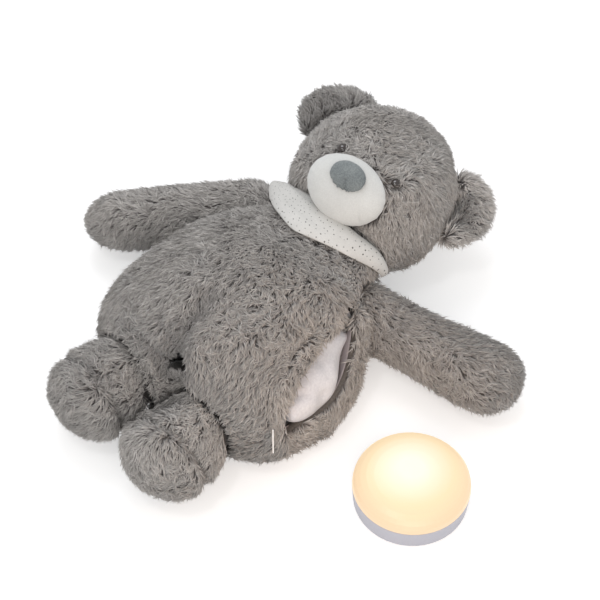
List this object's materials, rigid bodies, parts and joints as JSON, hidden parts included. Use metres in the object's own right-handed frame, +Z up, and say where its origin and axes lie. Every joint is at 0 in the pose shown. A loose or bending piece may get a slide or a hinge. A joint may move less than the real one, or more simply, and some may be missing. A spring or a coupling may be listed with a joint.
{
  "type": "plush night light",
  "caption": "Grey plush bear lying on its back with a spotted bandana, a flank pocket and a removable round battery night light",
  "frame": {"origin": "on the floor under the middle of the torso, in the flat patch that the bear rests on", "axes": "+Z up out of the belly, +Y towards the head, +X towards the bear's own left side, where the pocket and the light are"},
  "size_m": [0.3329, 0.316, 0.1109],
  "materials": {
    "plush": "matte",
    "satin": "satin",
    "closure_tape": "matte",
    "label": "matte",
    "cotton": "matte",
    "velour_white": "matte",
    "velour_grey": "matte",
    "bead": "gloss",
    "base_plastic": "satin",
    "diffuser": "satin",
    "tray_plastic": "matte",
    "reflector_plastic": "satin",
    "board": "satin",
    "switch_plastic": "satin",
    "contact_metal": "satin",
    "cell": "satin",
    "grip_rubber": "matte",
    "led_chip": "gloss",
    "lead_sleeve": "satin"
  },
  "bodies": {
    "body": {"torso": "plush", "light_pocket": "satin", "closure_strip_lower": "closure_tape", "closure_strip_upper": "closure_tape", "care_label": "label", "bandana": "cotton"},
    "head": {"head": "plush", "left_ear": "plush", "right_ear": "plush", "muzzle": "velour_white", "nose": "velour_grey", "left_eye": "bead", "right_eye": "bead"},
    "left_arm": {"left_arm": "plush"},
    "right_arm": {"right_arm": "plush"},
    "left_leg": {"left_leg": "plush"},
    "right_leg": {"right_leg": "plush"},
    "light": {"light_base": "base_plastic", "battery_cover": "base_plastic", "diffuser_dome": "diffuser", "battery_tray": "tray_plastic", "reflector_plate": "reflector_plastic", "led_board": "board", "button_switch": "switch_plastic", "cover_screw": "contact_metal", "contact_plate_1": "contact_metal", "contact_plate_2": "contact_metal", "battery_1": "cell", "battery_spring_1": "contact_metal", "base_screw_1": "contact_metal", "grip_pad_1": "grip_rubber", "battery_2": "cell", "battery_spring_2": "contact_metal", "base_screw_2": "contact_metal", "grip_pad_2": "grip_rubber", "battery_3": "cell", "battery_spring_3": "contact_metal", "base_screw_3": "contact_metal", "grip_pad_3": "grip_rubber", "led_1": "led_chip", "led_2": "led_chip", "led_3": "led_chip", "led_4": "led_chip", "led_5": "led_chip", "light_lead_1": "lead_sleeve", "light_lead_2": "lead_sleeve"},
    "power_button": {"power_button": "base_plastic"}
  },
  "joints": [
    {"name": "head_turn", "type": "hinge", "parent": "body", "child": "head", "pos_m": [0.0115, 0.0875, 0.0525], "axis": [0, 1, 0], "range_deg": [-20, 10], "stiffness_Nm_per_rad": 0.05},
    {"name": "left_arm_raise", "type": "hinge", "parent": "body", "child": "left_arm", "pos_m": [0.066, 0.0622, 0.0242], "axis": [0.1305, -0.9914, 0], "range_deg": [0, 40]},
    {"name": "right_arm_raise", "type": "hinge", "parent": "body", "child": "right_arm", "pos_m": [-0.0515, 0.0795, 0.0242], "axis": [-0.7193, 0.6947, 0], "range_deg": [0, 40]},
    {"name": "left_leg_raise", "type": "hinge", "parent": "body", "child": "left_leg", "pos_m": [0.044, -0.0785, 0.0295], "axis": [-0.9994, -0.0349, 0], "range_deg": [0, 30]},
    {"name": "right_leg_raise", "type": "hinge", "parent": "body", "child": "right_leg", "pos_m": [-0.018, -0.0775, 0.0295], "axis": [-0.9945, 0.1045, 0], "range_deg": [0, 30]},
    {"name": "light_slide", "type": "slide", "parent": "body", "child": "light", "axis": [-0.9495, 0.1334, 0.284], "range_m": [0, 0.115]},
    {"name": "button_press", "type": "slide", "parent": "light", "child": "power_button", "axis": [0.7071, -0.7071, 0], "range_m": [0, 0.001], "stiffness_N_per_m": 300}
  ]
}
